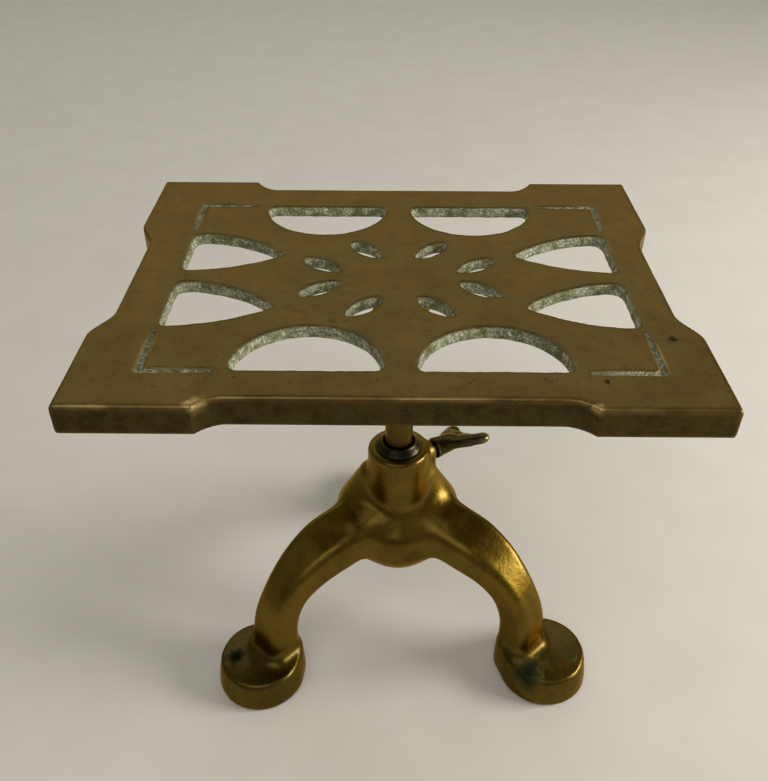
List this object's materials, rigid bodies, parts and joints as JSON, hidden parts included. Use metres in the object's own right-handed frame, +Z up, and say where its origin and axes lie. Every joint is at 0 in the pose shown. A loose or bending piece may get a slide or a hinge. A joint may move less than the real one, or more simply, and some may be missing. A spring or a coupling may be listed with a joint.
{
  "type": "book display stand",
  "caption": "Pierced rectangular brass table that turns on a round mast, which slides in a three-legged cast base and is clamped by a wing screw.",
  "frame": {"origin": "on the surface that the stand stands on, in the middle of its footprint (the box of the whole object seen from above)", "axes": "+X along the table's long edge, to the right of a reader in front of it; +Y away from the reader, towards the rear leg; +Z up, along the mast"},
  "size_m": [0.2, 0.167, 0.181],
  "materials": {
    "tarnished_brass": "aged cast brass, satin, with brown-olive tarnish",
    "bar_brass": "drawn brass bar, lightly tarnished",
    "grimy_brass": "turned brass, darkened with grime",
    "dark_screw": "dark grey-brown patina, worn at the tips"
  },
  "bodies": {
    "base": {"tripod_base": "tarnished_brass", "guide_bush": "grimy_brass"},
    "mast": {"mast_rod": "bar_brass"},
    "table": {"top_plate": "tarnished_brass", "plate_set_screw": "dark_screw"},
    "pad": {"pressure_pad": "bar_brass"},
    "screw": {"wing_screw": "dark_screw"}
  },
  "joints": [
    {"name": "mast_slide", "type": "slide", "parent": "base", "child": "mast", "axis": [0, 0, 1], "range_m": [-0.055, 0.025]},
    {"name": "table_swivel", "type": "hinge", "parent": "mast", "child": "table", "pos_m": [0.0025, -0.00848, 0.17], "axis": [0, 0, 1], "continuous": true},
    {"name": "pad_travel", "type": "slide", "parent": "base", "child": "pad", "axis": [0.848, 0.5299, 0], "range_m": [0, 0.003]},
    {"name": "wing_screw_turn", "type": "hinge", "parent": "pad", "child": "screw", "pos_m": [0.0025, -0.00848, 0.0925], "axis": [0.848, 0.5299, 0], "range_deg": [0, 725]}
  ],
  "couplings": [
    {"joint": "wing_screw_turn", "follows": "pad_travel", "rad_per_m": 4188.8}
  ]
}
